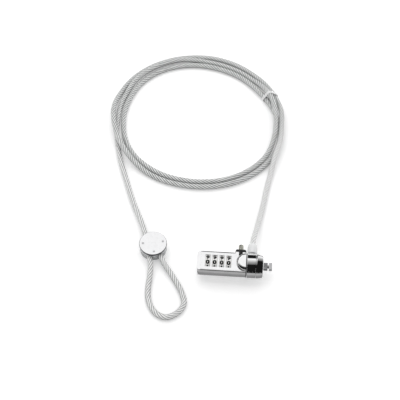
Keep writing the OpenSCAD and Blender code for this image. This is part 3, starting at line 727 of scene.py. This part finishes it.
    def build(self, copies: dict[str, bpy.types.Object]) -> None:
        """Makes the cable as one piece, dressed and attached to its body.

        Args:
            copies: the rounded copies by node, for the puck's pieces; not used.
        """
        points = self.resampled()
        lengths = [0.0]
        for a, b in zip(points, points[1:]):
            lengths.append(lengths[-1] + (b - a).length)
        piece = bpy.data.objects.new("cable", self.mesh(points, lengths))
        show(piece)
        dress(piece, ROPE.make())
        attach(piece, "cable_end")
        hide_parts("cable_lock_leg", "cable_coil", "cable_anchor_leg", "cable_loop")
        log.info("cable: %d rings, %.3f m", len(points), lengths[-1])


# ---- The dials ----


@dataclass
class NumberRings:
    """Printed numbers on the dials, as thin pieces wrapped round each dial, in millimetres."""

    stations: tuple[float, ...] = (-20.7, -15.3, -9.9, -4.5)
    radius: float = 6.6
    axis_y: float = -3.35
    axis_z: float = 9.8
    count: int = 10
    first_angle: float = 20.0
    size: float = 4.2
    stretch: float = 1.25
    bold: float = 0.3
    sink: float = 0.05
    proud: float = 0.03
    curve_steps: int = 3
    slice: float = 0.4
    spare_cuts: int = 8
    merge: float = 0.0001

    @property
    def arc(self) -> float:
        """Each number's share of the dial's circumference."""
        return 2 * math.pi * self.radius / self.count

    def texts(self) -> list[bpy.types.Object]:
        """Lays all numbers flat along Y, each centred on its place.

        Returns:
            A mesh for each number.
        """
        texts = []
        for number in range(self.count):
            clear_selection()
            bpy.ops.object.text_add(location=(0, -(number * self.arc), 0))
            text = bpy.context.object
            text.data.body = str(number)
            text.data.align_x, text.data.align_y = "CENTER", "CENTER"
            text.data.size = self.size
            text.data.offset = self.bold
            text.data.extrude = (self.sink + self.proud) / 2
            text.data.resolution_u = self.curve_steps
            texts.append(text)
        pick(*texts)
        bpy.ops.object.convert(target="MESH")
        for text in texts:
            low = [min(v.co[i] for v in text.data.vertices) for i in (0, 1)]
            high = [max(v.co[i] for v in text.data.vertices) for i in (0, 1)]
            for vert in text.data.vertices:
                vert.co.x = (vert.co.x - (low[0] + high[0]) / 2) * self.stretch
                vert.co.y -= (low[1] + high[1]) / 2
        return texts

    def strip(self) -> bpy.types.Object:
        """Joins the numbers into a strip as long as the dial's circumference.

        Returns:
            One mesh, cut across often enough to be wrapped round a dial.
        """
        pick(*self.texts())
        bpy.ops.object.join()
        strip = bpy.context.object
        settle(strip)
        bpy.ops.object.mode_set(mode="EDIT")
        for cut in range(int(self.arc * self.count / self.slice) + self.spare_cuts):
            bpy.ops.mesh.select_all(action="SELECT")
            place = (0, self.arc - cut * self.slice, 0)
            bpy.ops.mesh.bisect(plane_co=place, plane_no=(0, 1, 0))
        bpy.ops.mesh.select_all(action="SELECT")
        bpy.ops.mesh.remove_doubles(threshold=self.merge)
        bpy.ops.object.mode_set(mode="OBJECT")
        return strip

    def wrapped(self, flat: Vector, station: float) -> Vector:
        """Finds where a point of the flat strip lies on a dial.

        Args:
            flat: the point, in millimetres.
            station: the dial's middle along X, in millimetres.

        Returns:
            The place in metres.
        """
        turn = math.radians(self.first_angle) - flat.y / self.radius
        r = self.radius + (self.proud - self.sink) / 2 + flat.z
        y, z = self.axis_y - r * math.sin(turn), self.axis_z + r * math.cos(turn)
        return Vector((station + flat.x, y, z)) * MM

    def build(self) -> None:
        """Wraps a copy of the strip round each dial."""
        strip = self.strip()
        ink = NUMBER_INK.make()
        for index, station in enumerate(self.stations, 1):
            piece = twin(strip, f"dial_{index}_numbers")
            for vert in piece.data.vertices:
                vert.co = self.wrapped(vert.co, station)
            piece.data.shade_flat()
            dress(piece, ink)
            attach(piece, f"dial_{index}")
            log.info("%s: %d faces", piece.name, len(piece.data.polygons))
        bpy.data.objects.remove(strip)


# ---- Rounded copies of the hard pieces ----


@dataclass
class Rounding:
    """Hard pieces whose sharp edges get a small round, as cast and plated edges have.

    Each row of nodes is a solid, its body and the round's width. Lengths are in millimetres
    and angles in degrees.
    """

    nodes: tuple[tuple[str, str, float], ...] = (
        ("barrel", "barrel", 0.15), ("face_plate", "barrel", 0.12), ("end_cap", "barrel", 0.12),
        ("nose_cap", "barrel", 0.2), ("swivel_ring", "cable_end", 0.15),
        ("push_button", "button", 0.1), ("button_collar", "barrel", 0.12),
        ("t_bar", "t_bar", 0.2), ("guard_pins", "barrel", 0.15),
        ("puck_cover", "cable_end", 0.1), ("puck_base", "cable_end", 0.12),
    )
    sharp: float = 30.0
    segments: int = 2
    smooth_extra: float = 5.0
    merge: float = 0.002
    flat_merge: float = 0.5
    plate_merge: float = 3.0
    flat_z: float = 14.2
    flat_slack: float = 0.05
    flat_edge: float = 0.95
    flat_segments: int = 5
    long_edge: float = 20.0

    def ease_long_edges(self, piece: bpy.types.Object) -> None:
        """Rounds the long edges of the dial face, which run along X at its height.

        Args:
            piece: the copy, alone selected.
        """
        bpy.ops.object.mode_set(mode="EDIT")
        bpy.ops.mesh.select_all(action="DESELECT")
        mesh = bmesh.from_edit_mesh(piece.data)
        for edge in mesh.edges:
            a, b = (v.co / MM for v in edge.verts)
            level = all(abs(end.z - self.flat_z) < self.flat_slack for end in (a, b))
            long = abs(a.x - b.x) > self.long_edge
            if level and long and edge.calc_face_angle(0) > math.radians(self.sharp):
                edge.select = True
        bmesh.update_edit_mesh(piece.data)
        bpy.ops.mesh.bevel(
            offset=self.flat_edge * MM, segments=self.flat_segments, clamp_overlap=False,
        )
        bpy.ops.object.mode_set(mode="OBJECT")

    def copy_node(self, node: str) -> bpy.types.Object:
        """Makes a merged copy of a solid.

        Args:
            node: the solid's name.

        Returns:
            The copy, alone selected.
        """
        piece = twin(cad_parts[node], f"{node}_rounded")
        piece.parent = None
        pick(piece)
        flat = self.plate_merge if node == "face_plate" else self.flat_merge
        bpy.ops.object.mode_set(mode="EDIT")
        bpy.ops.mesh.select_all(action="SELECT")
        bpy.ops.mesh.remove_doubles(threshold=self.merge * MM)
        bpy.ops.mesh.dissolve_limited(angle_limit=math.radians(flat))
        bpy.ops.mesh.normals_make_consistent(inside=False)
        bpy.ops.object.mode_set(mode="OBJECT")
        return piece

    def build(self) -> dict[str, bpy.types.Object]:
        """Makes the rounded copies.

        Returns:
            Each copy by the name of the solid it stands for.
        """
        made = {}
        for node, body, width in self.nodes:
            piece = self.copy_node(node)
            if node == "face_plate":
                self.ease_long_edges(piece)
            bevel = piece.modifiers.new("round", "BEVEL")
            bevel.width, bevel.segments = width * MM, self.segments
            bevel.angle_limit = math.radians(self.sharp)
            bevel.limit_method = "ANGLE"
            bpy.ops.object.modifier_apply(modifier=bevel.name)
            smooth = math.radians(self.sharp + self.smooth_extra)
            bpy.ops.object.shade_smooth_by_angle(angle=smooth)
            even = piece.modifiers.new("even", "WEIGHTED_NORMAL")
            even.keep_sharp = True
            bpy.ops.object.modifier_apply(modifier=even.name)
            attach(piece, body)
            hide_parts(node)
            made[node] = piece
            log.info("%s: %d faces", piece.name, len(piece.data.polygons))
        return made


@dataclass
class ReturnSpring:
    """The button's return spring, in millimetres; the real spring gets shorter as the button goes
    in, and the copy keeps one length.
    """

    travel: float = 2.513
    seat_y: float = -10.35
    smooth: float = 60.0

    def build(self, rounding: Rounding) -> dict[str, bpy.types.Object]:
        """Makes a smooth copy of the spring.

        Args:
            rounding: what copies and merges a solid.

        Returns:
            The copy by the name of the solid it stands for.
        """
        piece = rounding.copy_node("button_spring")
        bpy.ops.object.shade_smooth_by_angle(angle=math.radians(self.smooth))
        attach(piece, "barrel")
        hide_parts("button_spring")
        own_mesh(piece)
        return {"button_spring": piece}


# ---- Dressing of the solids ----


@dataclass
class Dressing:
    """Which finish each carried-over solid wears, and the puck's rim with painted shade, in
    metres.
    """

    finishes: dict[str, Finish] = field(default_factory=lambda: {
        "barrel": CHROME, "face_plate": CHROME, "end_cap": CHROME, "nose_cap": CHROME,
        "swivel_ring": CHROME, "cap_screws": BRIGHT_STEEL, "guard_pins": DARK_STEEL,
        "t_bar": CHROME_SMALL, "cable_ferrule": CHROME_SMALL, "seam_washer": NYLON,
        "nose_washer": NYLON, "button_collar": BLACK_COLLAR, "push_button": NICKEL_BUTTON,
        "button_spring": BRIGHT_STEEL, "detent_spring": BRIGHT_STEEL,
        "locking_shaft": BRIGHT_STEEL, "retaining_clip": BRIGHT_STEEL, "pinion": BRASS,
        "cable_boot": MILKY_VINYL, "cable_tie": CLEAR_TIE, "crimp_sleeve": RIVET,
        "puck_base": PUCK_GREY, "puck_cover": PUCK_WHITE, "puck_rivets": RIVET,
        **{f"dial_{i}": DIAL_METAL for i in range(1, 5)},
        **{f"dial_hub_{i}": BRASS for i in range(1, 5)},
    })
    puck: Pair = (-0.065, 0.013)
    rim_r: float = 0.009
    rim_up: float = 0.9

    def darken_rim(self, cover: bpy.types.Object) -> None:
        """Gives the faces round the puck's cover a dark finish, painted shade for the gap under
        the cover's edge.

        Args:
            cover: the cover's copy.
        """
        cover.data.materials.append(PUCK_RIM_SHADE.make())
        for face in cover.data.polygons:
            if face.normal.z < self.rim_up and math.dist(face.center.xy, self.puck) > self.rim_r:
                face.material_index = len(cover.data.materials) - 1

    def apply(self, copies: dict[str, bpy.types.Object]) -> None:
        """Gives every solid, or the copy that stands for it, its material and slot.

        Args:
            copies: the rounded copies by node.
        """
        made: dict[str, bpy.types.Material] = {}
        for node, finish in self.finishes.items():
            if finish.name not in made:
                made[finish.name] = finish.make()
            dress(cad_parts[node], made[finish.name])
            if node in copies:
                dress(copies[node], made[finish.name])
            log.info("%s wears %s", node, finish.name)
        self.darken_rim(copies["puck_cover"])


# ---- Studio ----


@dataclass
class Studio:
    """Camera, floor, lamp and the cards that only chrome shows, in metres and degrees.

    The hood's marks are degrees up from the front and a brightness. The apron's marks are
    places along Y and a brightness.
    """

    look_at: Point = (-0.0314, 0.0634, 0.0)
    distance: float = 0.823
    azimuth: float = 4.0
    elevation: float = 54.6
    lens: float = 90.0
    clip_start: float = 0.01
    ambient: float = 0.9
    floor_size: float = 6.0
    floor_z: float = -0.0002
    floor_paint: Colour = (0.88, 0.88, 0.88)
    floor_glow: float = 0.3
    key_power: float = 8.0
    key_size: float = 1.5
    key_at: Point = (-0.25, 0.75, 1.2)
    hood_r: float = 0.9
    hood_length: float = 2.4
    hood_sides: int = 96
    hood_shift: tuple[float, float, float, float] = (0.03, 0.11, 0.0, 40.0)
    hood_marks: tuple[Pair, ...] = (
        (0, 0.01), (68, 0.01), (76, 0.2), (86, 0.3), (95, 0.46), (105, 0.68), (114, 0.9),
        (119, 0.97), (129, 0.97), (133, 0.01), (175, 0.01), (179, 1.0), (180, 1.0),
    )
    apron_size: Point = (0.6, 0.7, 1.0)
    apron_at: Point = (0.0, -0.3635, 0.0001)
    # The grey near the lock is painted shade: the floor's shadow as chrome shows it.
    apron_marks: tuple[Pair, ...] = (
        (-0.3, 0.01), (-0.11, 0.01), (-0.08, 0.42), (-0.04, 0.42), (-0.02, 0.26), (0.0, 0.2),
    )

    def add_camera(self) -> None:
        """Adds the camera and makes it the scene's."""
        a, e = math.radians(self.azimuth), math.radians(self.elevation)
        back = Vector((math.sin(a) * math.cos(e), -math.cos(a) * math.cos(e), math.sin(e)))
        data = bpy.data.cameras.new("camera")
        data.lens = self.lens
        data.clip_start = self.clip_start
        camera = bpy.data.objects.new("camera", data)
        show(camera)
        camera.location = Vector(self.look_at) + back * self.distance
        camera.rotation_euler = back.to_track_quat("Z", "Y").to_euler()
        bpy.context.scene.camera = camera

    def seen_by(self, graph: Graph, looks: Iterable[Look]) -> bpy.types.NodeSocket:
        """Joins the Light Path outputs of these looks into one that is 1 for any of them.

        Args:
            graph: the material's or world's graph.
            looks: the rays that count.

        Returns:
            The joined output.
        """
        path = graph.node("LightPath")
        total: object = 0.0
        for look in looks:
            total = graph.math("MAXIMUM", path.outputs[look.value], total)
        return total

    def set_world(self) -> None:
        """Gives the world a plain white light, and white where it is seen."""
        world = bpy.data.worlds.new("studio")
        bpy.context.scene.world = world
        graph = Graph(world)
        seen = self.seen_by(graph, Look)
        light, white = graph.node("Background"), graph.node("Background")
        light.inputs["Strength"].default_value = self.ambient
        white.inputs["Strength"].default_value = 1.0
        mix = graph.node("MixShader")
        for out, into in zip((seen, light.outputs[0], white.outputs[0]), mix.inputs):
            graph.join(out, into)
        graph.join(mix.outputs[0], graph.node("OutputWorld").inputs["Surface"])

    def add_floor(self) -> None:
        """Adds the pale floor, which keeps the shadow."""
        clear_selection()
        place = (0, 0, self.floor_z)
        bpy.ops.mesh.primitive_plane_add(size=self.floor_size, location=place)
        floor = bpy.context.object
        floor.name = "floor"
        material = bpy.data.materials.new("floor_white")
        graph = Graph(material)
        paint, glow = graph.node("BsdfDiffuse"), graph.node("Emission")
        paint.inputs["Color"].default_value = (*self.floor_paint, 1)
        glow.inputs["Color"].default_value = (1, 1, 1, 1)
        seen = self.seen_by(graph, Look)
        graph.join(graph.math("MULTIPLY", seen, self.floor_glow), glow.inputs["Strength"])
        both = graph.node("AddShader")
        graph.join(paint.outputs[0], both.inputs[0])
        graph.join(glow.outputs[0], both.inputs[1])
        graph.join(both.outputs[0], graph.node("OutputMaterial").inputs["Surface"])
        dress(floor, material)

    def stops(
        self, graph: Graph, place: bpy.types.NodeSocket, marks: Sequence[Pair],
    ) -> bpy.types.NodeSocket:
        """Reads a brightness from marks of place and brightness.

        Args:
            graph: the card's graph.
            place: where it is read.
            marks: places in rising order, each with its brightness.

        Returns:
            The brightness.
        """
        total: object = marks[0][1]
        for (start, low), (end, high) in zip(marks, marks[1:]):
            if high != low:
                step = graph.ramp(place, start, end, 0.0, high - low)
                total = graph.math("ADD", step, total)
        return total

    def mirror_only(
        self, card: bpy.types.Object, light: bpy.types.NodeSocket, graph: Graph,
    ) -> None:
        """Makes a card glow with that light, where only polished surfaces show it.

        Args:
            card: the hood or the apron.
            light: its brightness.
            graph: its graph.
        """
        glow = graph.node("Emission")
        graph.join(light, glow.inputs["Strength"])
        graph.join(glow.outputs[0], graph.node("OutputMaterial").inputs["Surface"])
        card.visible_camera = card.visible_diffuse = card.visible_shadow = False
        card.visible_transmission = False

    def add_hood(self) -> None:
        """Adds the pipe round the X axis that chrome shows: dark, then pale above, then dark."""
        clear_selection()
        bpy.ops.mesh.primitive_cylinder_add(
            vertices=self.hood_sides, radius=self.hood_r, depth=self.hood_length,
            end_fill_type="NGON", rotation=(0, math.pi / 2, 0),
        )
        hood = bpy.context.object
        hood.name = "hood"
        settle(hood)
        material = bpy.data.materials.new("hood_bands")
        graph = Graph(material)
        x, y, z = graph.split(graph.place())
        turn = graph.math("DEGREES", graph.math("ARCTAN2", z, graph.math("MULTIPLY", y, -1.0)))
        shifted = graph.math("SUBTRACT", turn, graph.ramp(x, *self.hood_shift))
        dress(hood, material)
        self.mirror_only(hood, self.stops(graph, shifted, self.hood_marks), graph)

    def add_apron(self) -> None:
        """Adds the sheet in front of the lock that chrome shows: grey near it, painted shade for
        the shadowed floor, then black.
        """
        clear_selection()
        bpy.ops.mesh.primitive_plane_add(size=1.0, location=(0, 0, 0))
        apron = bpy.context.object
        apron.name = "apron"
        apron.scale = self.apron_size
        apron.location = self.apron_at
        settle(apron)
        material = bpy.data.materials.new("apron_bands")
        graph = Graph(material)
        _, y, _ = graph.split(graph.place())
        dress(apron, material)
        self.mirror_only(apron, self.stops(graph, y, self.apron_marks), graph)

    def add_key(self) -> None:
        """Adds the square soft lamp that points at the middle of the object."""
        data = bpy.data.lights.new("key", "AREA")
        data.shape = "SQUARE"
        data.size = self.key_size
        data.energy = self.key_power
        lamp = bpy.data.objects.new("key", data)
        show(lamp)
        lamp.location = self.key_at
        back = Vector(self.key_at) - Vector(self.look_at)
        lamp.rotation_euler = back.to_track_quat("Z", "Y").to_euler()
        lamp.visible_glossy = False

    def build(self) -> None:
        """Sets up the world, the floor, the lamp and the cards."""
        self.set_world()
        self.add_floor()
        self.add_key()
        self.add_hood()
        self.add_apron()


def main() -> None:
    """Builds the camera, the copies, the cord, the numbers, the finishes and the studio."""
    logging.basicConfig(level=logging.INFO, format="%(name)s: %(message)s")
    bpy.context.scene.view_settings.view_transform = "Standard"
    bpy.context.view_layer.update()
    studio = Studio()
    studio.add_camera()
    rounding = Rounding()
    copies = {**rounding.build(), **ReturnSpring().build(rounding)}
    Cable().build(copies)
    NumberRings().build()
    Dressing().apply(copies)
    studio.build()


if __name__ == "__main__":
    main()
